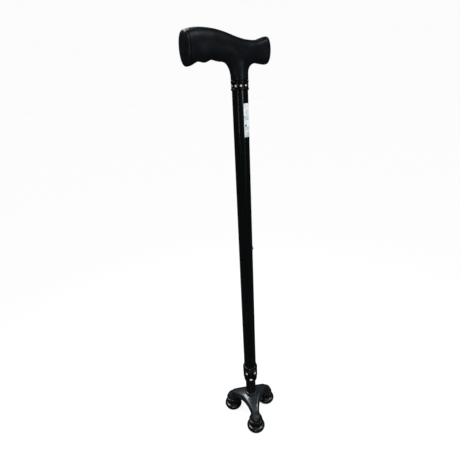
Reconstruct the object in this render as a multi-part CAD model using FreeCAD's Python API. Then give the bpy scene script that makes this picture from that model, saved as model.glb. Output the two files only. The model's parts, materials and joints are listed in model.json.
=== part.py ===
import FreeCAD, Part
import os
from math import cos, pi, radians, sin

# Tripod-based adjustable walking cane, millimetres, +Z up, floor at z = 0.
# Every piece is built about the shaft axis and then moved by shaft_place(),
# which puts the origin under the middle of the whole cane's box.
# The nose of the handle points along +X and the grip along -X.

V = FreeCAD.Vector
UP = V(0, 0, 1)

# Telescopic tubes: a 7/8 inch tube over a 3/4 inch one.
UPPER_R = 11.1
LOWER_R = 9.525
TUBE_WALL = 1.2
UPPER_BORE_R = UPPER_R - TUBE_WALL
LOWER_BORE_R = LOWER_R - TUBE_WALL
UPPER_BOTTOM = 100.0
UPPER_TOP = 665.0
LOWER_BOTTOM = 28.0
LOWER_TOP = 390.0
SLIP_GAP = 0.3
BUSH_WALL = 2.0
BUSH_DEPTH = 9.0
BUSH_FLANGE = 3.0

# Height setting: holes of the upper tube, one of them on the snap button.
HOLE_PITCH = 19.05
HOLE_COUNT = 13
HOLE_R = 4.3
BUTTON_Z = 370.0
BUTTON_R = 4.0
BUTTON_GUIDE_R = 4.1
BUTTON_TIP = 12.9
BUTTON_BACK = 5.6
BUTTON_FLANGE_R = 4.7
BUTTON_FLANGE = 1.0
BUTTON_NOSE_R = 9.0
SPRING_WIDTH = 6.0
SPRING_THICK = 0.5
SPRING_LENGTH = 46.0
SPRING_TAIL = 0.9

# Tripod base.
FOOT_CIRCLE_R = 39.7
BASE_CLOCK = 10.0
FOOT_NAMES = ("front", "rear_left", "rear_right")
TIP_TOP = 23.0
TIP_NECK_R = 12.2
TIP_RIM_R = 12.8
TIP_FLANGE_R = 17.0
TIP_FLANGE_Z = 5.0
TIP_FLANGE_TOP = 10.0
TIP_LAND_R = 14.8
TIP_RECESS_R = 5.0
TIP_RECESS = 2.0
PEG_R = 8.0
PEG_SEAT = 5.0
WASHER_THICK = 1.2
WASHER_BORE_R = 2.5
WASHER_GAP = 0.2
KNUCKLE_R = 11.5
ARM_REACH = 41.7
ARM_NECK = 5.8
ARM_DEPTH = 10.5
WEB_R = 19.0
CROWN_R = 52.0
CROWN_EDGE = 22.0
CROWN_HIP = ((46.0, 32.2), (38.0, 39.4))
CROWN_SHOULDER = (26.0, 44.4)
PLATE_TOP = 48.0
SKIN = 3.0
HUB_R = 13.0
HUB_BOTTOM = 22.0
HUB_FLOOR = 25.0
BOSS_R = 11.2
BOSS_TOP = 54.0
BOLT_R = 3.0
BOLT_HEAD_R = 5.6
BOLT_HEAD = 4.0
BOLT_WASHER = 1.4
BOLT_WASHER_R = 8.5
PLUG_HEIGHT = 18.0

# Twist lock at the upper tube's lower end.
NUT_BOTTOM = 86.5
NUT_TOP = 113.5
NUT_R = 13.5
NUT_FOOT_R = 12.2
NUT_TAPER = 7.0
NUT_BORE_R = 12.4
SPIGOT_R = 12.1
COLLAR_BOTTOM = 114.9
COLLAR_TOP = 121.5
COLLAR_R = 13.65
LOCK_STUDS = 5
LOCK_UPPER_ROW = (2.2, 13.6, 108.5, -80.0)
LOCK_LOWER_ROW = (2.7, 13.45, 95.0, -116.0)
STUD_DEPTH = 0.7
COLLET_BOTTOM = 89.4
COLLET_TOP = 98.6
COLLET_FOOT_R = 10.1
COLLET_HEAD_R = 11.65
COLLET_SLOT = 1.6

# Trim ring under the handle.
RING_BOTTOM = 612.5
RING_TOP = 624.5
RING_R = 12.4
RING_BAND_R = 11.8
RING_STUDS = 10
RING_STUD_R = 1.5
RING_STUD_START = -4.0
RING_STUD_FACE = 12.1

# Paper label on the tube.
LABEL_BOTTOM = 551.5
LABEL_TOP = 596.0
LABEL_START = -98.5
LABEL_SWEEP = 108.0
LABEL_THICK = 0.15

# Handle: stations along X as (x, underside z, top z, half width).
GRIP_STATIONS = (
    (-74.0, 644.6, 685.2, 15.0),
    (-67.0, 646.2, 686.6, 14.3),
    (-59.0, 649.2, 687.4, 13.9),
    (-49.5, 647.9, 687.3, 13.9),
    (-40.5, 650.6, 686.4, 13.8),
    (-29.5, 649.1, 684.4, 13.7),
    (-14.0, 649.5, 679.9, 13.2),
    (5.0, 647.8, 674.5, 12.7),
    (24.0, 645.2, 672.5, 12.6),
    (33.0, 643.8, 674.7, 12.9),
    (40.4, 642.4, 676.9, 13.3),
)
GRIP_WALL = 3.2
GRIP_DOME = 5.4
NOSE_DOME = 4.0
CAP_SHOULDER = 1.2
CAP_SHOULDER_AT = 0.6
CAP_CREST = 4.5
CAP_SPIGOT = 3.5
CAP_EASE = 1.6
STEM_R = 12.0
STEM_BOTTOM = 624.8
FLARE_START = 632.0
FLARE_R = 12.0
FLARE_TOP = 660.0
STEM_HALF_WIDTH = 12.9
CORE_R = 14.0
SCREW_Z = 640.0
SCREW_R = 1.75
SCREW_HEAD_R = 3.2
SCREW_HEAD_OUT = 12.7
SCREW_TIP = 2.0
PLUG_BOTTOM = 628.0


def profile(*path):
    """Closed face in the XZ plane. An item is a corner (x, z), or an arc's (through, end) pair."""
    corner = [item[1] if isinstance(item[0], tuple) else item for item in path]
    edges = []
    for k, item in enumerate(path):
        start = V(corner[k - 1][0], 0, corner[k - 1][1])
        end = V(corner[k][0], 0, corner[k][1])
        if isinstance(item[0], tuple):
            through = V(item[0][0], 0, item[0][1])
            edges.append(Part.Arc(start, through, end).toShape())
        else:
            edges.append(Part.LineSegment(start, end).toShape())
    return Part.Face(Part.Wire(edges))


def turned(*path, sweep=360.0):
    """Solid of revolution about the shaft axis."""
    return profile(*path).revolve(V(0, 0, 0), UP, sweep)


def pipe(inner_r, outer_r, bottom, top):
    return turned((inner_r, bottom), (outer_r, bottom), (outer_r, top), (inner_r, top))


def rod(radius, bottom, top):
    return Part.makeCylinder(radius, top - bottom, V(0, 0, bottom))


def radial_rod(radius, start, end, z, azimuth=0.0):
    """Cylinder that points away from the shaft axis at an azimuth in degrees."""
    shape = Part.makeCylinder(radius, end - start, V(start, 0, z), V(1, 0, 0))
    shape.rotate(V(0, 0, 0), UP, azimuth)
    return shape


def around(shape, azimuths):
    """Copies of a shape turned about the shaft axis."""
    copies = []
    for azimuth in azimuths:
        copy = shape.copy()
        copy.rotate(V(0, 0, 0), UP, azimuth)
        copies.append(copy)
    return copies


def at_foot(shape, index):
    """Moves a shape from the shaft axis to one foot's axis."""
    azimuth = radians(BASE_CLOCK + 120.0 * index)
    copy = shape.copy()
    copy.translate(V(FOOT_CIRCLE_R * cos(azimuth), FOOT_CIRCLE_R * sin(azimuth), 0))
    return copy


def shaft_place():
    """Where the shaft axis stands, from the box's four sides: grip end, front foot and rear feet."""
    grip_end = GRIP_STATIONS[0][0] - GRIP_DOME
    clock = radians(BASE_CLOCK)
    front = FOOT_CIRCLE_R * cos(clock) + TIP_FLANGE_R
    left = FOOT_CIRCLE_R * sin(clock + radians(120)) + TIP_FLANGE_R
    right = FOOT_CIRCLE_R * sin(clock + radians(240)) - TIP_FLANGE_R
    return V(-(grip_end + front) / 2, -(left + right) / 2, 0)


# ---------------------------------------------------------------- tubes


def upper_tube():
    tube = pipe(UPPER_BORE_R, UPPER_R, UPPER_BOTTOM, UPPER_TOP)
    holes = [
        radial_rod(HOLE_R, 0, UPPER_R + 1, BUTTON_Z - HOLE_PITCH * k) for k in range(HOLE_COUNT)
    ]
    holes.append(radial_rod(SCREW_R, 0, UPPER_R + 1, SCREW_Z, 90))
    return tube.cut(holes)


def lower_tube():
    tube = pipe(LOWER_BORE_R, LOWER_R, LOWER_BOTTOM, LOWER_TOP)
    return tube.cut(radial_rod(BUTTON_GUIDE_R, 0, LOWER_R + 1, BUTTON_Z))


def guide_bush():
    """Plastic bush in the lower tube's top end, with a flange that runs in the upper tube."""
    inner = LOWER_BORE_R - BUSH_WALL
    spigot = pipe(inner, LOWER_BORE_R, LOWER_TOP - BUSH_DEPTH, LOWER_TOP)
    flange = pipe(inner, UPPER_BORE_R - SLIP_GAP, LOWER_TOP, LOWER_TOP + BUSH_FLANGE)
    return spigot.fuse(flange).removeSplitter()


def snap_button():
    """Round-nosed button, with a flange that stops it inside the lower tube."""
    shank = radial_rod(BUTTON_R, BUTTON_BACK, BUTTON_TIP, BUTTON_Z)
    flange = radial_rod(BUTTON_FLANGE_R, BUTTON_BACK, BUTTON_BACK + BUTTON_FLANGE, BUTTON_Z)
    nose = Part.makeSphere(BUTTON_NOSE_R, V(BUTTON_TIP - BUTTON_NOSE_R, 0, BUTTON_Z), V(1, 0, 0))
    return shank.fuse(flange).common(nose).removeSplitter()


def button_spring():
    """V-shaped leaf: one leg behind the button, the other against the tube's far wall."""
    bend = BUTTON_Z - SPRING_LENGTH
    back = BUTTON_BACK - SPRING_THICK
    wall = SPRING_TAIL - LOWER_BORE_R
    leaf = profile(
        (BUTTON_BACK, BUTTON_Z + 7),
        (back, BUTTON_Z + 7),
        (back, BUTTON_Z - 8),
        (-0.7, bend + 1.2),
        (wall + SPRING_THICK, BUTTON_Z + 2),
        (wall, BUTTON_Z + 2),
        (-1.2, bend + 0.6),
        ((-0.7, bend), (-0.2, bend + 0.6)),
        (BUTTON_BACK, BUTTON_Z - 8),
    )
    leaf.translate(V(0, -SPRING_WIDTH / 2, 0))
    return leaf.extrude(V(0, SPRING_WIDTH, 0))


# ---------------------------------------------------------------- twist lock


def lock_sleeve():
    """Collar pressed on the upper tube, with a spigot that the nut screws over."""
    return turned(
        (UPPER_R, UPPER_BOTTOM - 1),
        (SPIGOT_R, UPPER_BOTTOM - 1),
        (SPIGOT_R, COLLAR_BOTTOM),
        (COLLAR_R - 0.4, COLLAR_BOTTOM),
        ((COLLAR_R - 0.1, COLLAR_BOTTOM + 0.4), (COLLAR_R, COLLAR_BOTTOM + 1.2)),
        (COLLAR_R, COLLAR_TOP - 4.5),
        ((COLLAR_R - 0.6, COLLAR_TOP - 2.4), (SPIGOT_R, COLLAR_TOP - 1)),
        (UPPER_R + 0.3, COLLAR_TOP),
        (UPPER_R, COLLAR_TOP),
    )


def lock_seal():
    """Flat rubber ring under the collar, above the nut."""
    return pipe(SPIGOT_R, SPIGOT_R + 0.8, NUT_TOP + 0.4, COLLAR_BOTTOM)


def lock_studs():
    """Two staggered rows of round inlays in the nut."""
    studs = []
    for radius, face, z, first in (LOCK_UPPER_ROW, LOCK_LOWER_ROW):
        stud = radial_rod(radius, face - STUD_DEPTH, face, z)
        studs += around(stud, [first + 360.0 / LOCK_STUDS * k for k in range(LOCK_STUDS)])
    return Part.makeCompound(studs)


def lock_nut():
    lip_top = NUT_BOTTOM + 2.5
    nut = turned(
        (UPPER_BORE_R, NUT_BOTTOM),
        (NUT_FOOT_R - 0.9, NUT_BOTTOM),
        ((NUT_FOOT_R - 0.2, NUT_BOTTOM + 0.3), (NUT_FOOT_R, NUT_BOTTOM + 1)),
        (NUT_R - 0.2, NUT_BOTTOM + NUT_TAPER),
        (NUT_R, NUT_TOP - 4),
        (NUT_R, NUT_TOP - 2),
        ((NUT_R - 0.2, NUT_TOP - 0.7), (NUT_R - 0.7, NUT_TOP)),
        (NUT_BORE_R, NUT_TOP),
        (NUT_BORE_R, UPPER_BOTTOM - 1),
        (NUT_BORE_R - 1.9, lip_top),
        (UPPER_BORE_R, lip_top),
    )
    return nut.cut(lock_studs().Solids)


def lock_collet():
    """Split cone that the nut squeezes onto the lower tube."""
    inner = LOWER_R + SLIP_GAP
    cone = turned(
        (inner, COLLET_BOTTOM),
        (COLLET_FOOT_R, COLLET_BOTTOM),
        (COLLET_HEAD_R, COLLET_TOP),
        (inner, COLLET_TOP),
    )
    height = COLLET_TOP - COLLET_BOTTOM
    slot = Part.makeBox(COLLET_HEAD_R, COLLET_SLOT, height, V(0, -COLLET_SLOT / 2, COLLET_BOTTOM))
    return cone.cut(slot)


# ---------------------------------------------------------------- base


def plan_point(azimuth, along, aside):
    """Point of the plan view, measured along and across the direction of an azimuth in degrees."""
    turn = radians(azimuth)
    return V(along * cos(turn) - aside * sin(turn), along * sin(turn) + aside * cos(turn), 0)


def arm_star(inset, reach):
    """Three-armed block. Its sides are concave arcs between neighbouring arm ends."""
    centre = (WEB_R - ARM_NECK) / (1 - cos(pi / 6))
    radius = centre - WEB_R + inset
    half = centre * cos(pi / 6) - (radius**2 - (reach - centre / 2) ** 2) ** 0.5
    edges = []
    for k in range(3):
        arm = BASE_CLOCK + 120 * k
        left = plan_point(arm, reach, half)
        middle = plan_point(arm + 60, centre - radius, 0)
        edges.append(Part.LineSegment(plan_point(arm, reach, -half), left).toShape())
        edges.append(Part.Arc(left, middle, plan_point(arm + 120, reach, -half)).toShape())
    return Part.Face(Part.Wire(edges)).extrude(V(0, 0, PLATE_TOP))


def crown(drop):
    """Space under the base's domed top face, lowered by a drop."""
    return turned(
        (0, -drop),
        (CROWN_R, -drop),
        (CROWN_R, CROWN_EDGE),
        CROWN_HIP,
        (CROWN_SHOULDER, (BOSS_R, PLATE_TOP)),
        (0, PLATE_TOP),
    ).translated(V(0, 0, -drop))


def knuckle():
    """Half ball that caps a foot, with the peg that the foot is pushed onto."""
    ball = Part.makeSphere(KNUCKLE_R, V(0, 0, TIP_TOP))
    dome = ball.common(rod(KNUCKLE_R + 1, TIP_TOP, PLATE_TOP))
    return dome.fuse(rod(PEG_R, PEG_SEAT + WASHER_THICK, TIP_TOP + 1))


def base_body():
    """Moulded tripod: domed shell with a hub socket for the tube and a knuckle over each foot."""
    shell = arm_star(0, ARM_REACH).common(crown(0)).cut(crown(ARM_DEPTH))
    pocket = arm_star(SKIN, FOOT_CIRCLE_R - KNUCKLE_R + SKIN).common(crown(SKIN))
    hub = rod(HUB_R, HUB_BOTTOM, PLATE_TOP - 1)
    solid = shell.cut(pocket).fuse([hub] + [at_foot(knuckle(), k) for k in range(3)])
    socket = rod(LOWER_R, LOWER_BOTTOM, PLATE_TOP + 1)
    bolt_hole = rod(BOLT_R + 0.2, HUB_BOTTOM, LOWER_BOTTOM)
    head_room = rod(HUB_R - SKIN, HUB_BOTTOM - 1, HUB_FLOOR)
    return solid.cut([socket, bolt_hole, head_room]).removeSplitter()


def socket_ring():
    """Trim ring that seats on the base round the lower tube."""
    return turned(
        (LOWER_R, PLATE_TOP),
        (BOSS_R, PLATE_TOP),
        (BOSS_R, BOSS_TOP - 1.2),
        ((BOSS_R - 0.35, BOSS_TOP - 0.35), (BOSS_R - 1.2, BOSS_TOP)),
        (LOWER_R, BOSS_TOP),
    )


def tube_end_plug():
    """Tapped plug pressed into the lower tube, which the base's bolt pulls down on."""
    return pipe(BOLT_R, LOWER_BORE_R, LOWER_BOTTOM, LOWER_BOTTOM + PLUG_HEIGHT)


def base_bolt():
    seat = HUB_FLOOR - BOLT_WASHER
    corners = [plan_point(60 * k, BOLT_HEAD_R, 0) + V(0, 0, seat - BOLT_HEAD) for k in range(7)]
    head = Part.Face(Part.makePolygon(corners)).extrude(V(0, 0, BOLT_HEAD))
    return head.fuse(rod(BOLT_R, seat, LOWER_BOTTOM + PLUG_HEIGHT - 4)).removeSplitter()


def base_washer():
    return pipe(BOLT_R + 0.2, BOLT_WASHER_R, HUB_FLOOR - BOLT_WASHER, HUB_FLOOR)


def foot_tip():
    """Rubber foot: waisted cup with a bulging flange that stands on an annular land."""
    return turned(
        (0, TIP_RECESS),
        (TIP_RECESS_R, TIP_RECESS),
        (TIP_RECESS_R, 0),
        (TIP_LAND_R, 0),
        ((TIP_FLANGE_R - 0.6, 2), (TIP_FLANGE_R, TIP_FLANGE_Z)),
        ((TIP_FLANGE_R - 1.4, TIP_FLANGE_TOP - 1.6), (TIP_NECK_R + 0.6, TIP_FLANGE_TOP)),
        (TIP_NECK_R, TIP_FLANGE_TOP + 2),
        (TIP_NECK_R, TIP_TOP - 3),
        ((TIP_RIM_R, TIP_TOP - 1.5), (TIP_NECK_R, TIP_TOP)),
        (PEG_R, TIP_TOP),
        (PEG_R, PEG_SEAT),
        (0, PEG_SEAT),
    )


# ---------------------------------------------------------------- handle and trim


def trim_ring_studs():
    middle = (RING_BOTTOM + RING_TOP) / 2
    stud = radial_rod(RING_STUD_R, RING_STUD_FACE - STUD_DEPTH, RING_STUD_FACE, middle)
    step = 360.0 / RING_STUDS
    return Part.makeCompound(around(stud, [RING_STUD_START + step * k for k in range(RING_STUDS)]))


def trim_ring():
    """Ring round the tube, with a rounded lip at each end and a band of studs between."""
    lip = 1.8
    ring = turned(
        (UPPER_R, RING_BOTTOM),
        (RING_R - 0.4, RING_BOTTOM),
        ((RING_R, RING_BOTTOM + lip / 2), (RING_R - 0.4, RING_BOTTOM + lip)),
        (RING_BAND_R, RING_BOTTOM + lip),
        (RING_BAND_R, RING_TOP - lip),
        (RING_R - 0.4, RING_TOP - lip),
        ((RING_R, RING_TOP - lip / 2), (RING_R - 0.4, RING_TOP)),
        (UPPER_R, RING_TOP),
    )
    return ring.cut(trim_ring_studs().Solids)


def tube_label():
    label = turned(
        (UPPER_R, LABEL_BOTTOM),
        (UPPER_R + LABEL_THICK, LABEL_BOTTOM),
        (UPPER_R + LABEL_THICK, LABEL_TOP),
        (UPPER_R, LABEL_TOP),
        sweep=LABEL_SWEEP,
    )
    label.rotate(V(0, 0, 0), UP, LABEL_START)
    return label


def oval(x, under, top, half_width, inset=0.0):
    """Upright oval outline across the handle."""
    half_height = (top - under) / 2 - inset
    middle = V(x, 0, (top + under) / 2)
    ellipse = Part.Ellipse(middle + V(0, 0, half_height), middle + V(0, half_width - inset, 0), middle)
    return Part.Wire(ellipse.toShape())


def handle_form(inset):
    return Part.makeLoft([oval(*station, inset) for station in GRIP_STATIONS], True)


def handle_grip():
    """Hollow moulding: a contoured grip and nose on a flared stem that holds the tube."""
    flare = turned(
        (0, STEM_BOTTOM),
        (STEM_R, STEM_BOTTOM),
        (STEM_R, FLARE_START),
        (
            (STEM_R + FLARE_R * (1 - cos(pi / 4)), FLARE_START + FLARE_R * sin(pi / 4)),
            (STEM_R + FLARE_R, FLARE_START + FLARE_R),
        ),
        (STEM_R + FLARE_R - 2, FLARE_TOP),
        (0, FLARE_TOP),
    )
    spread = STEM_R + FLARE_R
    height = FLARE_TOP - STEM_BOTTOM
    corner = V(-spread, -STEM_HALF_WIDTH, STEM_BOTTOM)
    waist = Part.makeBox(2 * spread, 2 * STEM_HALF_WIDTH, height, corner)
    outside = handle_form(0).fuse(flare.common(waist))
    cavity = handle_form(GRIP_WALL).cut(rod(CORE_R, STEM_BOTTOM, UPPER_TOP + CORE_R))
    bore = rod(UPPER_R, STEM_BOTTOM, UPPER_TOP)
    head = radial_rod(SCREW_HEAD_R, UPPER_R - 1, STEM_HALF_WIDTH + 1, SCREW_Z, 90)
    return outside.cut([cavity, bore, head])


def end_cap(station, dome, side):
    """Domed oval cap on one end of the handle, with a spigot inside the moulding's wall."""
    x, under, top, half_width = station
    face = oval(x, under, top, half_width)
    crest = oval(x + side * dome, under, top, half_width, CAP_CREST)
    shoulder = oval(x + side * dome * CAP_SHOULDER_AT, under, top, half_width, CAP_SHOULDER)
    cap = Part.makeLoft([face, shoulder, crest], True)
    spigot = Part.Face(oval(x, under, top, half_width, GRIP_WALL + CAP_EASE))
    return cap.fuse(spigot.extrude(V(-side * CAP_SPIGOT, 0, 0)))


def handle_plug():
    """Plastic plug in the upper tube's top end, which the handle's screw bites into."""
    plug = rod(UPPER_BORE_R, PLUG_BOTTOM, UPPER_TOP)
    return plug.cut(radial_rod(SCREW_R, SCREW_TIP, UPPER_R, SCREW_Z, 90))


def handle_screw():
    shank = radial_rod(SCREW_R, SCREW_TIP, UPPER_R + 0.1, SCREW_Z, 90)
    head = radial_rod(SCREW_HEAD_R, UPPER_R, SCREW_HEAD_OUT, SCREW_Z, 90)
    return shank.fuse(head).removeSplitter()


def all_nodes():
    nodes = {
        "upper_tube": upper_tube(),
        "lower_tube": lower_tube(),
        "guide_bush": guide_bush(),
        "snap_button": snap_button(),
        "button_spring": button_spring(),
        "lock_sleeve": lock_sleeve(),
        "lock_seal": lock_seal(),
        "lock_nut": lock_nut(),
        "lock_nut_studs": lock_studs(),
        "lock_collet": lock_collet(),
        "base_body": base_body(),
        "socket_ring": socket_ring(),
        "tube_end_plug": tube_end_plug(),
        "base_bolt": base_bolt(),
        "base_washer": base_washer(),
        "trim_ring": trim_ring(),
        "trim_ring_studs": trim_ring_studs(),
        "tube_label": tube_label(),
        "handle_grip": handle_grip(),
        "grip_end_cap": end_cap(GRIP_STATIONS[0], GRIP_DOME, -1),
        "nose_cap": end_cap(GRIP_STATIONS[-1], NOSE_DOME, 1),
        "handle_plug": handle_plug(),
        "handle_screw": handle_screw(),
    }
    washer = pipe(WASHER_BORE_R, PEG_R - WASHER_GAP, PEG_SEAT, PEG_SEAT + WASHER_THICK)
    nodes["foot_washers"] = Part.makeCompound([at_foot(washer, k) for k in range(3)])
    for index, name in enumerate(FOOT_NAMES):
        nodes["foot_tip_" + name] = at_foot(foot_tip(), index)
    return nodes


os.makedirs("parts", exist_ok=True)
for node, solid in all_nodes().items():
    solid.translate(shaft_place())
    solid.exportStep("parts/" + node + ".step")
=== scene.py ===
"""Walking cane on a small tripod base: the looks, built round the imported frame.

Blender works in metres. Lengths below are millimetres, except those of the camera, the lights, the stage
and the materials. A piece is built about the shaft axis, and put() moves it to its place in the row frame.
"""
import json
from itertools import product
from math import acos, atan2, cos, degrees, pi, radians, sin, tan

import bmesh
import bpy
import numpy as np
from mathutils import Matrix, Vector


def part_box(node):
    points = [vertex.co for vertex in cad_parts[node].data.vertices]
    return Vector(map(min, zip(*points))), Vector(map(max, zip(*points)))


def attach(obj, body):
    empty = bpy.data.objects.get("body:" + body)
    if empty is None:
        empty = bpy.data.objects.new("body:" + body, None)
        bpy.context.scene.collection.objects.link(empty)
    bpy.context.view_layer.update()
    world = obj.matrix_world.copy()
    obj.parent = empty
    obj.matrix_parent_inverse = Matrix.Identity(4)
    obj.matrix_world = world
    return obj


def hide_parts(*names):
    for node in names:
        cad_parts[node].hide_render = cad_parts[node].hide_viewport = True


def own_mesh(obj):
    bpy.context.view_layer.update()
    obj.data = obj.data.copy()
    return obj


MM = 0.001

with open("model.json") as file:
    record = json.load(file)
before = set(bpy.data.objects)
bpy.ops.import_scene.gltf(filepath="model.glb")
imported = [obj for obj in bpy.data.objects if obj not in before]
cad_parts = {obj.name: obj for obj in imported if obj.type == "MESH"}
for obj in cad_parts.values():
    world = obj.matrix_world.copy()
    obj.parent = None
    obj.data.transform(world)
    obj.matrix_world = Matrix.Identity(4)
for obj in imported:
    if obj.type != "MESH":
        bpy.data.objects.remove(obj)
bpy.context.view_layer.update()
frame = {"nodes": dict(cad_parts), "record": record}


# ---------------------------------------------------------------- places from the frame


def centre_of(node):
    low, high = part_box(node)
    return (low + high) / 2


def z_range(node):
    """Lowest and highest point of a CAD node, in millimetres."""
    low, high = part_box(node)
    return low.z / MM, high.z / MM


def radius_of(node):
    """Half of a turned CAD node's width, in millimetres."""
    low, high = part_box(node)
    return (high.y - low.y) / 2 / MM


SHAFT = centre_of("upper_tube")
SHAFT.z = 0.0
FOOT_NAMES = ("front", "rear_left", "rear_right")
FEET = [centre_of("foot_tip_" + name) for name in FOOT_NAMES]
FOOT_CIRCLE = (FEET[0] - SHAFT).xy.length / MM
CLOCK = atan2(FEET[0].y - SHAFT.y, FEET[0].x - SHAFT.x)
STEM_BOTTOM = z_range("handle_grip")[0]
TIP_TOP = z_range("foot_tip_front")[1]


# ---------------------------------------------------------------- mesh helpers


def put(name, points, faces, body, slot, looks, nodes=(), sharp=35.0, at=SHAFT):
    """Makes a piece from points about the shaft axis. It is smooth except at corners over sharp degrees."""
    mesh = bpy.data.meshes.new(name)
    mesh.from_pydata((np.asarray(points, float) * MM).tolist(), [], [list(map(int, f)) for f in faces])
    mesh.transform(Matrix.Translation(at))
    tidy = bmesh.new()
    tidy.from_mesh(mesh)
    bmesh.ops.remove_doubles(tidy, verts=tidy.verts, dist=1e-7)
    bmesh.ops.recalc_face_normals(tidy, faces=tidy.faces)
    tidy.to_mesh(mesh)
    tidy.free()
    mesh.shade_smooth()
    mesh.set_sharp_from_angle(angle=radians(sharp))
    mesh.materials.append(looks)
    piece = bpy.data.objects.new(name, mesh)
    bpy.context.scene.collection.objects.link(piece)
    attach(piece, body)
    if nodes:
        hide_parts(*nodes)
    return piece


def rounded(*corners, steps=6):
    """Closed outline from corners (x, y) or (x, y, radius): a corner with a radius becomes an arc."""
    outline = []
    for k, corner in enumerate(corners):
        here = Vector(corner[:2])
        if len(corner) < 3:
            outline.append(tuple(here))
            continue
        before = (Vector(corners[k - 1][:2]) - here).normalized()
        after = (Vector(corners[(k + 1) % len(corners)][:2]) - here).normalized()
        half = acos(max(-1.0, min(1.0, before.dot(after)))) / 2
        middle = here + (before + after).normalized() * (corner[2] / sin(half))
        start = here + before * (corner[2] / tan(half)) - middle
        end = here + after * (corner[2] / tan(half)) - middle
        turn = start.angle_signed(end)
        for step in range(steps + 1):
            spoke = start.copy()
            spoke.rotate(Matrix.Rotation(-turn * step / steps, 2))
            outline.append(tuple(middle + spoke))
    return outline


def lathe(outline, segments=96, closed=True):
    """Points and quads of an outline (radius, height) turned about the vertical axis."""
    outline = np.array(outline, float)
    turn = np.linspace(0, 2 * pi, segments, endpoint=False)
    points = np.stack(
        [
            np.outer(np.cos(turn), outline[:, 0]),
            np.outer(np.sin(turn), outline[:, 0]),
            np.tile(outline[:, 1], (segments, 1)),
        ],
        -1,
    ).reshape(-1, 3)
    count = len(outline)
    faces = []
    for s, k in product(range(segments), range(count if closed else count - 1)):
        after, up = (s + 1) % segments, (k + 1) % count
        faces.append((s * count + k, after * count + k, after * count + up, s * count + up))
    return points, faces


def several(shapes):
    """Joins (points, faces) pairs into one."""
    points, faces, base = [], [], 0
    for some_points, some_faces in shapes:
        points.append(np.asarray(some_points))
        faces += [tuple(i + base for i in f) for f in some_faces]
        base += len(some_points)
    return np.concatenate(points), faces


def facing_out(shape, azimuth, z):
    """Turns a shape that was built on the vertical axis so that it points out of the shaft at height z."""
    points, faces = shape
    across = np.array([-sin(azimuth), cos(azimuth), 0])
    out = np.array([cos(azimuth), sin(azimuth), 0])
    up = np.array([0, 0, 1.0])
    turned = np.outer(points[:, 0], across) + np.outer(points[:, 1], up) + np.outer(points[:, 2], out)
    return turned + (0, 0, z), faces


def net_surface(field, low, high, step, rounds=6):
    """Quads on a field's zero level: one point for each crossed cell, relaxed and pulled onto it."""
    ticks = [np.arange(a, b + step, step) for a, b in zip(low, high)]
    grid = np.stack(np.meshgrid(*ticks, indexing="ij"), -1)
    inside = field(grid.reshape(-1, 3)).reshape(grid.shape[:3]) < 0
    cells = tuple(n - 1 for n in inside.shape)
    corner_sum = sum(
        inside[i : i + cells[0], j : j + cells[1], k : k + cells[2]].astype(int)
        for i, j, k in product((0, 1), repeat=3)
    )
    crossed = (corner_sum > 0) & (corner_sum < 8)
    number = np.full(cells, -1)
    number[crossed] = np.arange(crossed.sum())
    points = np.argwhere(crossed) * step + np.array(low) + step / 2
    faces = []
    for axis in range(3):
        side, other = (axis + 1) % 3, (axis + 2) % 3
        first = np.moveaxis(inside, axis, 0)
        change = np.moveaxis(first[1:] != first[:-1], 0, axis)
        edge = np.argwhere(change)
        edge = edge[(edge[:, side] > 0) & (edge[:, other] > 0)]
        edge = edge[(edge[:, side] < cells[side]) & (edge[:, other] < cells[other])]
        ring = []
        for a, b in ((0, 0), (1, 0), (1, 1), (0, 1)):
            cell = edge.copy()
            cell[:, side] -= a
            cell[:, other] -= b
            ring.append(number[tuple(cell.T)])
        quads = np.stack(ring, 1)
        leaving = inside[tuple(edge.T)]
        quads[~leaving] = quads[~leaving][:, ::-1]
        faces.append(quads)
    faces = np.concatenate(faces)
    for _ in range(rounds):
        points = onto(field, relax(points, faces), step)
    return onto(field, points, step), faces


def relax(points, faces):
    """Moves each point halfway to the middle of its neighbours."""
    total = np.zeros_like(points)
    count = np.zeros(len(points))
    for a, b in ((0, 1), (1, 2), (2, 3), (3, 0)):
        np.add.at(total, faces[:, a], points[faces[:, b]])
        np.add.at(total, faces[:, b], points[faces[:, a]])
        np.add.at(count, faces[:, a], 1)
        np.add.at(count, faces[:, b], 1)
    return points * 0.5 + total / count[:, None] * 0.5


def onto(field, points, step):
    """Newton steps that bring points to a field's zero level."""
    small = 0.01
    for _ in range(4):
        value = field(points)
        slope = np.stack(
            [(field(points + d) - field(points - d)) / (2 * small) for d in np.eye(3) * small], -1
        )
        move = value / np.maximum((slope**2).sum(1), 0.05)
        points = points - slope * np.clip(move, -step, step)[:, None]
    return points


def soft_min(a, b, blend):
    """Smaller of two fields, with a fillet of about the size of blend where they meet."""
    h = np.clip(0.5 + 0.5 * (b - a) / blend, 0, 1)
    return b + (a - b) * h - blend * h * (1 - h)


def soft_max(a, b, blend):
    """Larger of two fields, with an edge eased by about the size of blend."""
    return -soft_min(-a, -b, blend)


def smooth_curve(stations):
    """Natural cubic spline through (x, value) stations, as a function of x that is flat past its ends."""
    x, y = np.array(stations, float).T
    gap = np.diff(x)
    matrix = np.eye(len(x))
    right = np.zeros(len(x))
    for k in range(1, len(x) - 1):
        matrix[k, k - 1 : k + 2] = gap[k - 1], 2 * (gap[k - 1] + gap[k]), gap[k]
        right[k] = 6 * ((y[k + 1] - y[k]) / gap[k] - (y[k] - y[k - 1]) / gap[k - 1])
    bend = np.linalg.solve(matrix, right)

    def curve(at):
        at = np.clip(at, x[0], x[-1])
        k = np.clip(np.searchsorted(x, at) - 1, 0, len(gap) - 1)
        a, b = (x[k + 1] - at) / gap[k], (at - x[k]) / gap[k]
        bow = (a**3 - a) * bend[k] + (b**3 - b) * bend[k + 1]
        return a * y[k] + b * y[k + 1] + bow * gap[k] ** 2 / 6

    return curve


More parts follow.
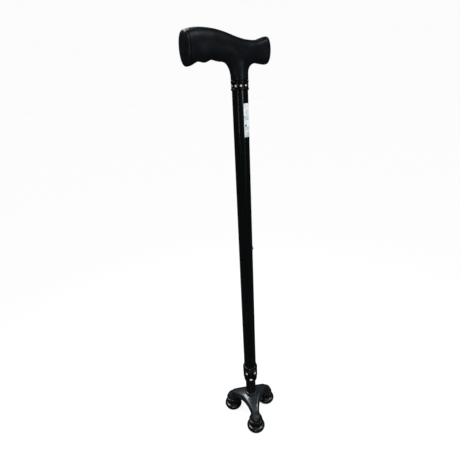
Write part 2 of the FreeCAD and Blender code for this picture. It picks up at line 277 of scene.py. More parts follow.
# ---------------------------------------------------------------- materials

# Distances from the shaft axis at which the knuckles' painted shade and duller finish begin and are
# complete.
KNUCKLE_SHADE_AND_DULL_START = 28.0
KNUCKLE_SHADE_AND_DULL_FULL = 33.0
# The label's width and height, and where its dot is from its lower left corner.
LABEL_SIZE = (21.2, 44.5, 0)
LABEL_DOT = (2.6, 15.6, 0)
DOT_R = 1.3
DOT_EDGE = 1.6


class Looks:
    """A procedural material under construction: a Principled shader and what feeds it."""

    def __init__(self, name, colour, rough, **sockets):
        self.material = bpy.data.materials.new(name)
        self.material.use_nodes = True
        self.tree = self.material.node_tree
        self.shader = self.tree.nodes["Principled BSDF"]
        self.shader.inputs["Base Color"].default_value = (*colour, 1)
        self.shader.inputs["Roughness"].default_value = rough
        for socket, value in sockets.items():
            self.shader.inputs[socket.replace("_", " ")].default_value = value
        self.height = None

    def node(self, kind, **inputs):
        made = self.tree.nodes.new(kind)
        for socket, value in inputs.items():
            target = made.inputs[socket.replace("_", " ")]
            if hasattr(value, "is_output"):
                self.tree.links.new(value, target)
            else:
                target.default_value = value
        return made

    def place(self, stretch=(1, 1, 1)):
        """Object coordinates in metres, stretched."""
        where = self.node("ShaderNodeTexCoord").outputs["Object"]
        mapping = self.node("ShaderNodeMapping", Vector=where)
        mapping.inputs["Scale"].default_value = stretch
        return mapping.outputs["Vector"]

    def noise(self, scale, detail=3.0, stretch=(1, 1, 1), rough=0.5):
        made = self.node(
            "ShaderNodeTexNoise", Vector=self.place(stretch), Scale=scale, Detail=detail, Roughness=rough
        )
        return made.outputs["Fac"]

    def ramp(self, value, low, high, start=0.35, end=0.65):
        """Number from low to high as value goes from start to end."""
        made = self.node("ShaderNodeMapRange", Value=value)
        for socket, number in zip(("From Min", "From Max", "To Min", "To Max"), (start, end, low, high)):
            made.inputs[socket].default_value = number
        return made.outputs["Result"]

    def mix(self, share, first, second):
        """Colour from first to second, each an output or three numbers."""
        made = self.node("ShaderNodeMix")
        made.data_type = "RGBA"
        self.tree.links.new(share, made.inputs["Factor"])
        for socket, colour in (("A", first), ("B", second)):
            if hasattr(colour, "is_output"):
                self.tree.links.new(colour, made.inputs[socket])
            else:
                made.inputs[socket].default_value = (*colour, 1)
        return made.outputs["Result"]

    def distance(self, where, point):
        made = self.node("ShaderNodeVectorMath")
        made.operation = "DISTANCE"
        self.tree.links.new(where, made.inputs[0])
        made.inputs[1].default_value = point
        return made.outputs["Value"]

    def feed(self, socket, value):
        self.tree.links.new(value, self.shader.inputs[socket])

    def bump(self, value, depth, strength=1.0):
        """Adds relief of a depth in metres."""
        made = self.node("ShaderNodeBump", Height=value, Strength=strength, Distance=depth)
        if self.height is not None:
            self.tree.links.new(self.height, made.inputs["Normal"])
        self.height = made.outputs["Normal"]
        self.feed("Normal", self.height)


def handle_plastic():
    """Satin moulded plastic: fine spark-eroded grain, faint mottling and handling sheen."""
    looks = Looks("handle_plastic", (0.005, 0.006, 0.008), 0.42, Specular_IOR_Level=0.45)
    mottle = looks.mix(looks.noise(60), (0.0012, 0.0016, 0.0024), (0.0030, 0.0038, 0.0050))
    looks.feed("Base Color", mottle)
    looks.feed("Roughness", looks.ramp(looks.noise(90, 4), 0.34, 0.46))
    looks.bump(looks.noise(2600, 2), 0.00003, 0.5)
    looks.bump(looks.noise(160, 2), 0.00012, 0.25)
    return looks.material


def tube_lacquer():
    """Gloss black lacquer on drawn tube: faint orange peel, long rub marks and dust."""
    looks = Looks("tube_lacquer", (0.002, 0.002, 0.002), 0.2, Specular_IOR_Level=0.35, Coat_Weight=0.2,
                  Coat_Roughness=0.08)
    cloudy = looks.mix(looks.noise(40, 3, (1, 1, 0.2)), (0.0008, 0.0011, 0.0012), (0.0022, 0.0026, 0.0028))
    looks.feed("Base Color", cloudy)
    looks.feed("Roughness", looks.ramp(looks.noise(220, 5, (1, 1, 0.06)), 0.16, 0.3))
    looks.bump(looks.noise(700, 2), 0.00001, 0.3)
    looks.bump(looks.noise(1500, 2, (1, 1, 0.02)), 0.000006, 0.3)
    return looks.material


def lower_tube_anodised():
    """Darker anodised inner tube with fine drawing lines along it."""
    looks = Looks("lower_tube_anodised", (0.005, 0.005, 0.005), 0.28, Specular_IOR_Level=0.4)
    lines = looks.noise(900, 3, (1, 1, 0.02))
    looks.feed("Base Color", looks.mix(lines, (0.0010, 0.0010, 0.0008), (0.0032, 0.0032, 0.0026)))
    looks.feed("Roughness", looks.ramp(looks.noise(1400, 4, (1, 1, 0.015)), 0.22, 0.38))
    looks.bump(looks.noise(2200, 2, (1, 1, 0.01)), 0.00001, 0.4)
    return looks.material


def lock_plastic():
    """Semi-gloss moulded nylon of the twist lock and trim."""
    looks = Looks("lock_plastic", (0.003, 0.003, 0.003), 0.28, Specular_IOR_Level=0.35)
    cloudy = looks.mix(looks.noise(150), (0.0008, 0.0008, 0.0006), (0.0024, 0.0023, 0.0018))
    looks.feed("Base Color", cloudy)
    looks.feed("Roughness", looks.ramp(looks.noise(400, 4), 0.22, 0.36))
    looks.bump(looks.noise(1800, 2), 0.00002, 0.35)
    return looks.material


def base_gloss():
    """Smooth blue-black moulding: soft sheen on the arms, knuckles painted darker as shade and made duller,
    slow waviness, small scuffs.
    """
    looks = Looks("base_gloss", (0.006, 0.009, 0.011), 0.28, Specular_IOR_Level=0.5, Coat_Weight=0.25,
                  Coat_Roughness=0.16)
    reach = looks.distance(looks.place((1, 1, 0)), SHAFT)
    outer = looks.ramp(reach, 0, 1, KNUCKLE_SHADE_AND_DULL_START * MM, KNUCKLE_SHADE_AND_DULL_FULL * MM)
    arms = looks.mix(looks.noise(35), (0.0035, 0.0050, 0.0060), (0.0070, 0.0090, 0.0105))
    # The knuckles' base colour is painted darker here, as shade. The roughness below makes them duller.
    looks.feed("Base Color", looks.mix(outer, arms, (0.0012, 0.0013, 0.0015)))
    duller = looks.node("ShaderNodeMath", Value=looks.ramp(looks.noise(180, 5), 0.27, 0.37))
    looks.tree.links.new(looks.ramp(outer, 0, 0.22, 0, 1), duller.inputs[1])
    looks.feed("Roughness", duller.outputs["Value"])
    looks.bump(looks.noise(120, 2), 0.00006, 0.25)
    looks.bump(looks.noise(1500, 2), 0.00001, 0.3)
    return looks.material


def rubber():
    """Black moulded rubber with faint random bloom and a slightly wiped sheen."""
    looks = Looks("rubber", (0.006, 0.006, 0.007), 0.28, Specular_IOR_Level=0.5)
    bloom = looks.mix(looks.noise(90, 5), (0.0012, 0.0012, 0.0014), (0.0030, 0.0030, 0.0032))
    looks.feed("Base Color", bloom)
    looks.feed("Roughness", looks.ramp(looks.noise(140, 5), 0.2, 0.34))
    looks.bump(looks.noise(1100, 3), 0.00003, 0.4)
    return looks.material


def bright_stud():
    looks = Looks("bright_stud", (0.6, 0.61, 0.62), 0.25, Metallic=0.35)
    looks.feed("Roughness", looks.ramp(looks.noise(900, 4), 0.16, 0.32))
    looks.bump(looks.noise(700, 2), 0.00002, 0.3)
    return looks.material


def steel(name="steel", colour=(0.5, 0.51, 0.52)):
    """Plated steel with turned lines round it."""
    looks = Looks(name, colour, 0.3, Metallic=1.0)
    looks.feed("Roughness", looks.ramp(looks.noise(1200, 4, (0.1, 0.1, 1)), 0.22, 0.42))
    dull = tuple(c * 0.8 for c in colour)
    looks.feed("Base Color", looks.mix(looks.noise(300, 4), dull, colour))
    looks.bump(looks.noise(1600, 2, (0.1, 0.1, 1)), 0.00001, 0.4)
    return looks.material


def nylon():
    looks = Looks("nylon", (0.03, 0.03, 0.031), 0.5)
    looks.feed("Base Color", looks.mix(looks.noise(200, 4), (0.02, 0.02, 0.021), (0.045, 0.045, 0.046)))
    looks.bump(looks.noise(1400, 3), 0.00003, 0.4)
    return looks.material


def brick(looks, where, cells, width, colours, gap, **sockets):
    """Rows of blocks on a map. cells are how many units across and up it, and width is a block's in units.

    colours are the two of the blocks and the one of the gaps.
    """
    mapping = looks.node("ShaderNodeMapping", Vector=where)
    mapping.inputs["Scale"].default_value = (*cells, 1)
    where = mapping.outputs["Vector"]
    made = looks.node("ShaderNodeTexBrick", Vector=where, Scale=1.0, Mortar_Size=gap, **sockets)
    made.inputs["Brick Width"].default_value = width
    made.inputs["Row Height"].default_value = 1.0
    for socket, colour in zip(("Color1", "Color2", "Mortar"), colours):
        made.inputs[socket].default_value = (*colour, 1)
    return made.outputs["Color"]


def label_paper():
    """White paper with patches of blank print blocks and one dark dot; nothing on it can be read."""
    paper, grey, pale = (0.74, 0.78, 0.82), (0.03, 0.05, 0.05), (0.24, 0.32, 0.30)
    looks = Looks("label_paper", paper, 0.45, Specular_IOR_Level=0.3)
    where = looks.node("ShaderNodeTexCoord").outputs["UV"]
    words = brick(looks, where, (16, 26), 1.3, (grey, pale, paper), 0.16, Bias=-0.1)
    patches = brick(looks, where, (5, 6), 1.0, ((1, 1, 1), (0, 0, 0), (0, 0, 0)), 0.05)
    print_colour = looks.mix(patches, paper, words)
    flat = looks.node("ShaderNodeMapping", Vector=where)
    flat.inputs["Scale"].default_value = LABEL_SIZE
    dot = looks.ramp(looks.distance(flat.outputs["Vector"], LABEL_DOT), 1, 0, DOT_R, DOT_EDGE)
    looks.feed("Base Color", looks.mix(dot, print_colour, (0.01, 0.015, 0.015)))
    looks.feed("Roughness", looks.ramp(looks.noise(600, 4), 0.4, 0.55))
    looks.bump(looks.noise(3000, 4), 0.00001, 0.4)
    return looks.material


# ---------------------------------------------------------------- handle

# Side view of the bar as (x, height), its half width as (x, width), and where it ends.
BAR_ENDS = (-79.4, 44.4)
TOP_LINE = smooth_curve(
    [(-79, 683.6), (-67, 686.4), (-55, 687.2), (-42, 686.4), (-28, 684.0), (-12, 679.2), (5, 674.4),
     (17, 672.6), (25, 672.6), (33, 674.6), (44, 677.8)]
)
UNDER_LINE = smooth_curve(
    [(-79, 644.2), (-70, 644.9), (-64, 647.6), (-59, 649.2), (-54, 648.5), (-49.5, 647.9), (-45, 649.4),
     (-40.5, 650.7), (-35, 649.7), (-29.5, 649.1), (-24, 650.4), (-19, 651.3), (-5, 648.5), (12, 646.8),
     (28, 644.6), (36, 643.2), (44, 641.8)]
)
HALF_WIDTH = smooth_curve(
    [(-79, 15.4), (-72, 15.0), (-64, 14.1), (-50, 13.9), (-30, 13.7), (-8, 13.1), (12, 12.6), (26, 12.6),
     (36, 13.0), (44, 13.5)]
)
STEM_R = 12.0
STEM_TOP = 658.0
# Fillets between stem and bar: under the grip, under the nose, and how fast one turns into the other.
GRIP_BLEND = 24.3
NOSE_BLEND = 17.2
BLEND_CHANGE = 2.5
SIDE_BLEND_SHARE = 0.2
END_ROUND = 2.4
SEAM_X = (-72.6, 38.8)
SEAM_GAP = 0.06
# The screw's recess on the stem's +Y side: its height, its radius, and its floor's distance from the axis.
SCREW_Z = 640.0
RECESS_R = 3.7
RECESS_FLOOR = 11.2


def handle_field(p):
    """Grip bar with a scalloped underside, flared nose and a stem that flows into it."""
    x, y, z = p.T
    top, under, wide = TOP_LINE(x), UNDER_LINE(x), HALF_WIDTH(x)
    tall = (top - under) / 2
    # The section's power: nearly an ellipse along the grip, squarer from x = 8 to the nose.
    square = 2.3 + 0.9 * np.clip((x - 8) / 22, 0, 1)
    across = np.abs(y) / wide
    upright = np.abs(z - (top + under) / 2) / tall
    oval = (across**square + upright**square + 1e-9) ** (1 / square)
    bar = (oval - 1) * np.minimum(wide, tall)
    # Both ends are shallow domes, flatter upright than across.
    grip_end = BAR_ENDS[0] - x + 0.012 * (y**2 + (z - 665) ** 2 * 0.5)
    nose_end = x - BAR_ENDS[1] + 0.0125 * (y**2 + (z - 660) ** 2 * 0.75)
    bar = soft_max(soft_max(bar, grip_end, END_ROUND), nose_end, END_ROUND)
    stem = soft_max(np.hypot(x, y) - STEM_R, z - STEM_TOP, 6)
    blend = NOSE_BLEND + (GRIP_BLEND - NOSE_BLEND) / (1 + np.exp(x / BLEND_CHANGE))
    # The fillet is whole before and behind the stem, and a small share of that at its sides.
    facing = x**2 / (x**2 + y**2 + 1)
    body = soft_min(bar, stem, blend * (SIDE_BLEND_SHARE + (1 - SIDE_BLEND_SHARE) * facing))
    recess = np.maximum(np.hypot(x, z - SCREW_Z) - RECESS_R, RECESS_FLOOR - y)
    body = soft_max(body, -recess, 0.5)
    return soft_max(body, STEM_BOTTOM - z, 0.8)


def seamed(field, low_x, high_x, round_off=0.7):
    """The part of a field between two cuts across the handle, with eased edges."""

    def cut(p):
        value = field(p)
        return soft_max(soft_max(value, low_x - p[:, 0], round_off), p[:, 0] - high_x, round_off)

    return cut


def build_handle(looks):
    """Handle and its two caps, cut from one form at the seams."""
    step = 0.7
    low, high = (-81, -18, 622), (48, 18, 692)
    grip_seam, nose_seam = SEAM_X
    parts = (
        ("handle_moulding", grip_seam + SEAM_GAP, nose_seam - SEAM_GAP, "handle_grip", low, high),
        ("grip_end_moulding", -90, grip_seam - SEAM_GAP, "grip_end_cap", low, (grip_seam + 3, 18, 692)),
        ("nose_moulding", nose_seam + SEAM_GAP, 60, "nose_cap", (nose_seam - 3, -18, 622), high),
    )
    for name, start, end, node, box_low, box_high in parts:
        points, faces = net_surface(seamed(handle_field, start, end), box_low, box_high, step)
        put(name, points, faces, "upper", "handle_plastic", looks, [node], sharp=60)


# ---------------------------------------------------------------- tubes, ring and lock

TUBE_WALL = 1.2
HOLE_R = 4.3
HOLE_PITCH = 19.05
HOLE_COUNT = 13
BUTTON_Z = 370.0
BUTTON_R = 3.95
SPRING_THICK = 0.5
# The spring's long leg is straight behind the button for this far, and the short leg ends this much lower.
SPRING_STRAIGHT = 15
SPRING_SHORTER = 5
# The label goes round the tube from this azimuth for this many degrees. Both sides stand off the tube.
LABEL_START = -98.5
LABEL_SWEEP = 108.0
LABEL_INSIDE = 0.03
LABEL_OUTSIDE = 0.15
SCREW_HEAD_R = 3.1
SCREW_SHANK_R = 1.7
CROSS_HALF_WIDTH = 0.42
CROSS_REACH = 1.9
BOLT_HALF_FLATS = 4.8
BOLT_SHANK_R = 2.9
WASHER_RADII = (3.2, 8.5)
RING_R = 12.3
RING_GROOVE_R = 11.8
RING_STUD_R = 1.45
RING_STUD_COUNT = 10
SPIGOT_R = 12.1
COLLAR_R = 13.65
NUT_BORE_R = 9.9
NUT_STUD_COUNT = 5
# Each row of the nut's studs: stud radius, distance of its face from the axis, height, first azimuth.
NUT_STUD_ROWS = ((2.1, 13.5, 108.5, -80), (2.6, 13.35, 95.0, -116))


def build_upper_tube(looks):
    """Tube with the row of height holes down the side that faces +X."""
    low, high = z_range("upper_tube")
    radius = radius_of("upper_tube")
    bore = radius - TUBE_WALL
    outline = rounded((bore, low, 0.2), (radius, low, 0.3), (radius, high, 0.3), (bore, high, 0.2))
    tube = put("upper_tube_skin", *lathe(outline, 128), "upper", "tube_black", looks, ["upper_tube"])
    # From inside the bore outwards: straight through the wall, then flared to ease the hole's rim.
    flare = [(HOLE_R, 10.3), (HOLE_R + 0.35, 11), (HOLE_R + 2, 12.5)]
    cutter = lathe([(0, 4), (HOLE_R, 4), *flare, (0, 12.5)], 48)
    holes = several([facing_out(cutter, 0, BUTTON_Z - HOLE_PITCH * k) for k in range(HOLE_COUNT)])
    drill(tube, *holes)


def drill(piece, points, faces):
    """Cuts closed shapes, given about the shaft axis, out of a piece."""
    mesh = bpy.data.meshes.new("drill")
    mesh.from_pydata((points * MM).tolist(), [], faces)
    mesh.transform(Matrix.Translation(SHAFT))
    tool = bpy.data.objects.new("drill", mesh)
    bpy.context.scene.collection.objects.link(tool)
    cut = piece.modifiers.new("holes", "BOOLEAN")
    cut.operation, cut.object, cut.solver = "DIFFERENCE", tool, "EXACT"
    view = bpy.context.evaluated_depsgraph_get()
    drilled = bpy.data.meshes.new_from_object(piece.evaluated_get(view))
    piece.modifiers.clear()
    piece.data = drilled
    drilled.set_sharp_from_angle(angle=radians(30))
    bpy.data.objects.remove(tool)


def build_button(looks):
    """Snap button with a domed nose, seen in one of the height holes."""
    button = rounded((0, 5.6), (4.7, 5.6), (4.7, 6.6), (BUTTON_R, 6.6), (BUTTON_R, 12.4, 1.2), (0, 12.9))
    points, faces = facing_out(lathe(button, 64), 0, BUTTON_Z)
    put("snap_button_nose", points, faces, "button", "steel", looks, ["snap_button"])


def build_spring(looks):
    """V-shaped leaf behind the button, in one fixed shape. On the cane it is squeezed towards the tube's
    far wall as the button goes in.
    """
    low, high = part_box("button_spring")
    wall, back = (low - SHAFT).x / MM, (high - SHAFT).x / MM - 0.05
    bend, top = z_range("button_spring")
    half = (high.y - low.y) / 2 / MM
    corner, short_top = top - SPRING_STRAIGHT, top - SPRING_SHORTER
    outline = rounded(
        (back, top, 0.1),
        (back - SPRING_THICK, top, 0.1),
        (back - SPRING_THICK, corner, 4),
        (-0.7, bend + 1.4, 0.2),
        (wall + SPRING_THICK, short_top, 0.1),
        (wall, short_top, 0.1),
        (-0.9, bend, 0.4),
        (-0.3, bend, 0.4),
        (back, corner, 4),
    )
    count = len(outline)
    points = [(x, y, z) for y in (-half, half) for x, z in outline]
    faces = [range(count), range(2 * count - 1, count - 1, -1)]
    faces += [(k, (k + 1) % count, (k + 1) % count + count, k + count) for k in range(count)]
    piece = put("button_leaf_spring", points, faces, "base", "spring_steel", looks, ["button_spring"])
    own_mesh(piece)


def build_lower_tube(looks):
    """Plain tube. Its one hole is the button's, and isn't cut, because the button stands in it."""
    low, high = z_range("lower_tube")
    radius = radius_of("lower_tube")
    bore = radius - TUBE_WALL
    outline = rounded((bore, low), (radius, low), (radius, high), (bore, high))
    put("lower_tube_skin", *lathe(outline, 128), "base", "lower_tube_black", looks, ["lower_tube"])


def build_label(looks):
    """Sheet wrapped on the tube, with a map of it for the print blocks: across the label, then up it."""
    low, high = z_range("tube_label")
    radius = radius_of("upper_tube")
    across, up = 72, 24
    grid = list(product(range(across + 1), range(up + 1)))
    points = []
    for face in (radius + LABEL_OUTSIDE, radius + LABEL_INSIDE):
        for i, j in grid:
            turn = radians(LABEL_START + LABEL_SWEEP * i / across)
            points.append((face * cos(turn), face * sin(turn), low + (high - low) * j / up))
    row, count = up + 1, len(grid)
    faces = [(i * row + j, (i + 1) * row + j, (i + 1) * row + j + 1, i * row + j + 1)
             for i, j in product(range(across), range(up))]
    faces += [tuple(k + count for k in reversed(f)) for f in faces]
    edge = [i * row for i in range(across)] + [across * row + j for j in range(up)]
    edge += [i * row + up for i in range(across, 0, -1)] + list(range(up, 0, -1))
    faces += [(a, a + count, b + count, b) for a, b in zip(edge, edge[1:] + edge[:1])]
    piece = put("tube_label_sheet", points, faces, "upper", "label_paper", looks, ["tube_label"])
    chart = piece.data.uv_layers.new(name="print")
    for loop in piece.data.loops:
        place = (piece.data.vertices[loop.vertex_index].co - SHAFT) / MM
        turn = degrees(atan2(place.y, place.x))
        chart.data[loop.index].uv = ((turn - LABEL_START) / LABEL_SWEEP, (place.z - low) / (high - low))


def build_screw(looks):
    """Cross-head screw in the stem's recess."""

    def field(p):
        x, y, z = p.T
        dome = np.hypot(np.hypot(x, z), y - 6.6) - 6.0
        head = soft_max(np.hypot(x, z) - SCREW_HEAD_R, soft_max(dome, RECESS_FLOOR - y, 0.1), 0.15)
        upright = np.maximum(np.abs(x) - CROSS_HALF_WIDTH, np.abs(z) - CROSS_REACH)
        level = np.maximum(np.abs(z) - CROSS_HALF_WIDTH, np.abs(x) - CROSS_REACH)
        cross = np.maximum(np.minimum(upright, level), RECESS_FLOOR + 0.5 - y)
        head = soft_max(head, -cross, 0.1)
        return np.minimum(head, np.maximum(np.hypot(x, z) - SCREW_SHANK_R, np.abs(y - 6.7) - 4.7))

    points, faces = net_surface(field, (-3.4, 1.6, -3.4), (3.4, 13, 3.4), 0.16)
    points = points + (0, 0, SCREW_Z)
    put("handle_screw_head", points, faces, "upper", "screw_black", looks, ["handle_screw"])


def build_bolt(looks):
    """Hexagon bolt with a dished head, and its washer, under the hub."""
    low, high = z_range("base_bolt")
    seat = z_range("base_washer")[0]

    def field(p):
        x, y, z = p.T
        sides = [np.abs(x * sin(a) + y * cos(a)) for a in (0, pi / 3, 2 * pi / 3)]
        flats = np.max(sides, axis=0) - BOLT_HALF_FLATS
        chamfer = np.hypot(x, y) - 4.6 + (low - z)
        head = soft_max(flats, chamfer, 0.2)
        head = soft_max(head, np.maximum(low - z, z - seat), 0.2)
        dish = np.hypot(np.hypot(x, y), z - low + 7.2) - 8.0
        along = np.abs(z - (seat + high) / 2) - (high - seat) / 2
        shank = np.maximum(np.hypot(x, y) - BOLT_SHANK_R, along)
        return np.minimum(soft_max(head, -dish, 0.2), shank)

    points, faces = net_surface(field, (-6.2, -6.2, low - 0.5), (6.2, 6.2, high + 0.5), 0.3)
    put("hub_bolt", points, faces, "base", "steel", looks, ["base_bolt"])
    low, high = z_range("base_washer")
    bore, rim = WASHER_RADII
    ring = rounded((bore, low, 0.2), (rim, low, 0.3), (rim, high, 0.2), (bore, high, 0.2))
    put("hub_washer", *lathe(ring, 64), "base", "steel", looks, ["base_washer"])


def build_trim_ring(looks, stud_looks):
    """Ring under the handle with a groove round it, and the studs that sit in the groove."""
    low, high = z_range("trim_ring")
    tube = radius_of("upper_tube")
    ring = rounded(
        (tube, low),
        (RING_R, low, 0.5),
        (RING_R, low + 2.2, 0.5),
        (RING_GROOVE_R, low + 2.4, 0.2),
        (RING_GROOVE_R, high - 2.4, 0.2),
        (RING_R, high - 2.2, 0.5),
        (RING_R, high, 0.5),
        (tube, high),
    )
    put("trim_ring_moulding", *lathe(ring, 128), "upper", "trim_black", looks, ["trim_ring"])
    stud = lathe(rounded((0, 11.2), (RING_STUD_R, 11.2), (RING_STUD_R, 11.95, 0.3), (0, 12.25)), 32)
    middle = (low + high) / 2
    spacing = 360 // RING_STUD_COUNT
    studs = [facing_out(stud, radians(spacing * k - 4), middle) for k in range(RING_STUD_COUNT)]
    put("trim_ring_dots", *several(studs), "upper", "bright_stud", stud_looks, ["trim_ring_studs"])


def build_lock(looks, stud_looks):
    """Twist lock: a collar on the upper tube with a spigot in the nut, and the nut with its studs."""
    low, high = z_range("lock_sleeve")
    tube = radius_of("upper_tube")
    seam = z_range("lock_seal")[1]
    sleeve = rounded(
        (tube, low),
        (SPIGOT_R, low, 0.3),
        (SPIGOT_R, seam),
        (COLLAR_R, seam, 0.8),
        (COLLAR_R, high - 3.4, 2.2),
        (12.2, high - 0.4, 0.8),
        (tube + 0.15, high, 0.1),
        (tube, high),
    )
    put("lock_collar", *lathe(sleeve, 128), "upper", "lock_plastic", looks, ["lock_sleeve"])
    nut_low, nut_high = z_range("lock_nut")
    nut = rounded(
        (NUT_BORE_R, nut_low),
        (12.0, nut_low, 0.9),
        (13.3, nut_low + 7, 6.0),
        (13.5, nut_high - 4, 4.0),
        (13.3, nut_high, 0.9),
        (12.4, nut_high),
        (12.4, low),
        (10.5, nut_low + 2.5),
        (NUT_BORE_R, nut_low + 2.5),
    )
    put("twist_nut", *lathe(nut, 128), "nut", "lock_plastic", looks, ["lock_nut"])
    studs = []
    spacing = 360 // NUT_STUD_COUNT
    for radius, face, z, first in NUT_STUD_ROWS:
        stud = lathe(rounded((0, 12.5), (radius, 12.5), (radius, face, 0.3), (0, face + 0.2)), 32)
        studs += [facing_out(stud, radians(first + spacing * k), z) for k in range(NUT_STUD_COUNT)]
    put("twist_nut_dots", *several(studs), "nut", "bright_stud", stud_looks, ["lock_nut_studs"])


# ---------------------------------------------------------------- base and feet

# Distance of the shell's edge from the shaft between two arms, and half of an arm's width at its narrowest.
WEB_R = 19.0
ARM_NECK = 5.8
KNUCKLE_R = 11.4
ARM_DEPTH = 10.5
SHELL_WALL = 3.0
CREST_WALL = 3.2
RIB_HALF = 0.9
LEDGE_OUT = 1.1
LEDGE_DROP = 5.0
PEG_R = 7.9
HUB_R = 13.0
HUB_BOTTOM = 22.0
HUB_FLOOR = 25.0
# Height of the shell's top against the distance from the shaft.
TOP_CURVE = smooth_curve(
    [(0, 48.2), (11, 48), (20, 46.0), (30, 43.0), (38, 39.4), (43, 35.6), (48, 29), (52, 22)]
)
SOLE_GROOVES = (7.6, 11.2)


def base_field(p):
    """Domed three-armed shell with concave sides, a knuckle and a peg for each foot, and a hub below."""
    x, y, z = p.T
    radius = np.hypot(x, y)
    turn = np.mod(np.arctan2(y, x) - CLOCK + pi / 3, 2 * pi / 3) - pi / 3
    along, aside = radius * np.cos(turn), np.abs(radius * np.sin(turn))
    crest = z - TOP_CURVE(radius)
    centre = (WEB_R - ARM_NECK) / (1 - cos(pi / 6))
    bay = centre - WEB_R - np.hypot(along - centre / 2, aside - centre * cos(pi / 6))
    # The sides step out a little below the crest.
    ledge = LEDGE_OUT / (1 + np.exp((crest + LEDGE_DROP) * 2.5))
    plate = soft_max(bay - ledge, along - FOOT_CIRCLE - 2, 2.0)
    plate = soft_max(soft_max(plate, crest, 4.0), -crest - ARM_DEPTH, 1.5)
    # The underside is hollow, with a rib down the middle of each arm.
    pocket = soft_max(np.maximum(bay + SHELL_WALL, crest + CREST_WALL), along - FOOT_CIRCLE + 8, 1.0)
    pocket = soft_max(pocket, RIB_HALF - aside, 0.5)
    plate = soft_max(plate, -pocket, 0.8)
    foot = np.hypot(along - FOOT_CIRCLE, aside)
    knuckle = np.hypot(foot, np.maximum(z - TIP_TOP, 0)) - KNUCKLE_R
    knuckle = soft_max(knuckle, TIP_TOP - z, 0.8)
    shape = soft_min(plate, knuckle, 3.0)
    peg = np.maximum(foot - PEG_R, np.abs(z - 16) - 9.8)
    hub = soft_max(radius - HUB_R, HUB_BOTTOM - z, 1.0)
    hub = soft_max(hub, z - 44, 1.0)
    hub = soft_max(hub, -np.maximum(radius - HUB_R + SHELL_WALL, z - HUB_FLOOR), 0.4)
    return np.minimum(soft_min(shape, hub, 2.0), peg)


def build_base(looks):
    """Base moulding, and the raised collar round the lower tube."""
    step = 0.8
    points, faces = net_surface(base_field, (-56, -56, 5), (56, 56, 52), step)
    put("base_moulding", points, faces, "base", "base_gloss", looks, ["base_body"], sharp=60)
    low, high = z_range("socket_ring")
    tube = radius_of("lower_tube")
    ring = rounded((tube, low - 0.5), (11.2, low - 0.5), (11.2, high, 1.3), (tube, high, 0.3))
    put("socket_collar", *lathe(ring, 128), "base", "base_gloss", looks, ["socket_ring"])


def build_feet(looks):
    """Flared rubber feet with two grooves and a shallow hollow in each sole."""
    groove = ((0, 0), (0, 1.2), (1, 1.2), (1, 0))
    grooves = [(radius + out, z) for radius in SOLE_GROOVES for out, z in groove]
    outline = rounded(
        (0, 2),
        (5, 2, 0.5),
        (5, 0, 0.3),
        *grooves,
        (15.4, 0, 2.0),
        (17.0, 3.6, 2.5),
        (16.9, 9.9, 4.6),
        (11.9, 10.1, 1.6),
        (11.9, TIP_TOP - 3.4, 0.5),
        (12.7, TIP_TOP - 2.8, 0.6),
        (12.7, TIP_TOP, 0.9),
        (8, TIP_TOP, 0.3),
        (8, 5),
        (0, 5),
    )
    for name, foot in zip(FOOT_NAMES, FEET):
        at = Vector((foot.x, foot.y, 0))
        node = "foot_tip_" + name
        put("rubber_foot_" + name, *lathe(outline, 128), "base", "rubber", looks, [node], at=at)


# ---------------------------------------------------------------- camera, light, floor

SENSOR_WIDTH = 36.0
FOCAL_LENGTH = 27.3913
STAGE_RADIUS = 9.0


def camera():
    """Stands half a metre from the shaft, as high as the handle's stem, and looks down with some roll."""
    azimuth, distance, height = radians(-120.5), 0.511, 0.633
    heading, pitch, roll = radians(62.2), radians(23.95), radians(-3.21)
    eye = bpy.data.cameras.new("camera")
    eye.sensor_width = SENSOR_WIDTH
    eye.lens = FOCAL_LENGTH
    eye.clip_start, eye.clip_end = 0.01, 50
    forward = Vector((cos(heading) * cos(pitch), sin(heading) * cos(pitch), -sin(pitch)))
    right = Vector((sin(heading), -cos(heading), 0))
    up = right.cross(forward)
    right_rolled = right * cos(roll) + up * sin(roll)
    up_rolled = up * cos(roll) - right * sin(roll)
    holder = bpy.data.objects.new("camera", eye)
    place = SHAFT + Vector((distance * cos(azimuth), distance * sin(azimuth), height))
    turn = Matrix((right_rolled, up_rolled, -forward)).transposed().to_4x4()
    holder.matrix_world = Matrix.Translation(place) @ turn
    bpy.context.scene.collection.objects.link(holder)
    bpy.context.scene.camera = holder


def softbox(name, azimuth, distance, height, size, power, target_height, colour=(1, 1, 1), spread=180):
    """Area light round the shaft, aimed at a height on it. Angles are in degrees and lengths in metres."""
    light = bpy.data.lights.new(name, "AREA")
    light.shape = "RECTANGLE"
    light.size, light.size_y = size
    light.energy = power
    light.color = colour
    light.spread = radians(spread)
    holder = bpy.data.objects.new(name, light)
    turn = radians(azimuth)
    place = SHAFT + Vector((distance * cos(turn), distance * sin(turn), height))
    aim = SHAFT + Vector((0, 0, target_height)) - place
    holder.matrix_world = Matrix.Translation(place) @ aim.to_track_quat("-Z", "Y").to_matrix().to_4x4()
    holder.visible_camera = False
    bpy.context.scene.collection.objects.link(holder)


def stage_piece(name, points, faces, looks):
    """Floor or backdrop: it lights the cane and shows behind it, but isn't mirrored in the gloss."""
    mesh = bpy.data.meshes.new(name)
    mesh.from_pydata(points, [], faces)
    mesh.shade_smooth()
    mesh.materials.append(looks)
    piece = bpy.data.objects.new(name, mesh)
    piece.visible_glossy = False
    bpy.context.scene.collection.objects.link(piece)


def glowing(name, albedo, glow):
    """Matt stage surface that gives off most of its own light, so that the cane hardly shades it."""
    looks = Looks(name, (albedo,) * 3, 1.0, Specular_IOR_Level=0.0, Emission_Color=(1, 1, 1, 1))
    looks.shader.inputs["Emission Strength"].default_value = glow
    return looks.material


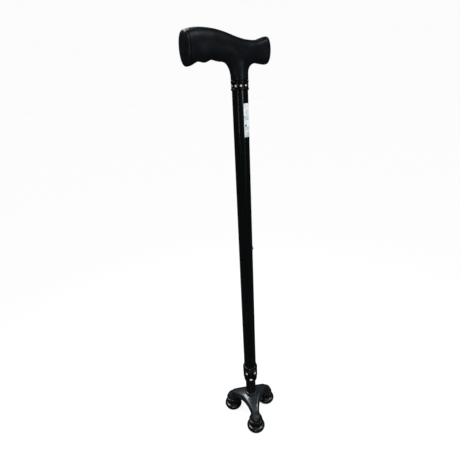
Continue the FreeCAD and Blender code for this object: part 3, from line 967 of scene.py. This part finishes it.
def studio():
    """Pale round floor under a glowing dome, and the softboxes."""
    scene = bpy.context.scene
    scene.view_settings.view_transform = "Standard"
    world = bpy.data.worlds.new("studio")
    world.use_nodes = True
    sky = world.node_tree.nodes["Background"]
    sky.inputs["Color"].default_value = (0.85, 0.93, 1, 1)
    sky.inputs["Strength"].default_value = 0.02
    scene.world = world
    around = np.linspace(0, 2 * pi, 64, endpoint=False)
    rim = [(STAGE_RADIUS * cos(a), STAGE_RADIUS * sin(a), 0) for a in around]
    stage_piece("floor", rim, [range(64)], glowing("pale_floor", 0.16, 0.82))
    rise = [(STAGE_RADIUS * cos(a), STAGE_RADIUS * sin(a)) for a in np.linspace(0, pi / 2, 17)]
    points, faces = lathe(rise, 64, closed=False)
    stage_piece("backdrop", points.tolist(), faces, glowing("backdrop", 0, 0.97))
    softbox("left_strip", -152, 0.5, 0.58, (0.03, 0.12), 0.05, 0.58, (1, 0.96, 0.9))
    softbox("right_strip", -76, 0.6, 0.48, (0.03, 0.25), 0.04, 0.48, (0.45, 0.95, 1))
    softbox("nose_panel", -86, 0.9, 0.68, (0.2, 0.1), 0.4, 0.66, (0.9, 0.97, 1))
    softbox("key_panel", -80, 0.7, 1.6, (0.8, 0.4), 3.0, 0.66, (0.85, 0.95, 1))
    softbox("near_panel", -124, 0.85, 0.34, (0.12, 0.12), 0.07, 0.02, (0.85, 0.93, 1), 40)
    softbox("top_panel", 100, 0.7, 1.35, (0.45, 0.5), 1.7, 0.05, (0.88, 0.95, 1), 60)
    softbox("rear_panel", 150, 0.65, 0.85, (0.2, 0.3), 0.35, 0.05, (0.85, 0.93, 1), 50)
    softbox("side_panel", -28, 0.65, 0.85, (0.2, 0.3), 0.5, 0.05, (0.85, 0.93, 1), 50)


# ---------------------------------------------------------------- assembly

camera()
studio()

LOCK_PLASTIC = lock_plastic()
STUD = bright_stud()
BASE_GLOSS = base_gloss()
STEEL = steel()
build_handle(handle_plastic())
build_upper_tube(tube_lacquer())
build_lower_tube(lower_tube_anodised())
build_button(STEEL)
build_spring(steel("spring_steel", (0.3, 0.31, 0.33)))
build_label(label_paper())
build_screw(steel("screw_black", (0.06, 0.06, 0.062)))
build_bolt(STEEL)
build_trim_ring(LOCK_PLASTIC, STUD)
build_lock(LOCK_PLASTIC, STUD)
build_base(BASE_GLOSS)
build_feet(rubber())

# CAD nodes that stay in the picture get the procedural material of their slot.
KEPT = {
    "nylon": nylon(),
    "steel": STEEL,
    "rubber": bpy.data.materials["rubber"],
}
for entry in frame["record"]["subparts"]:
    if entry["material_slot"] in KEPT:
        frame["nodes"][entry["node"]].data.materials[0] = KEPT[entry["material_slot"]]
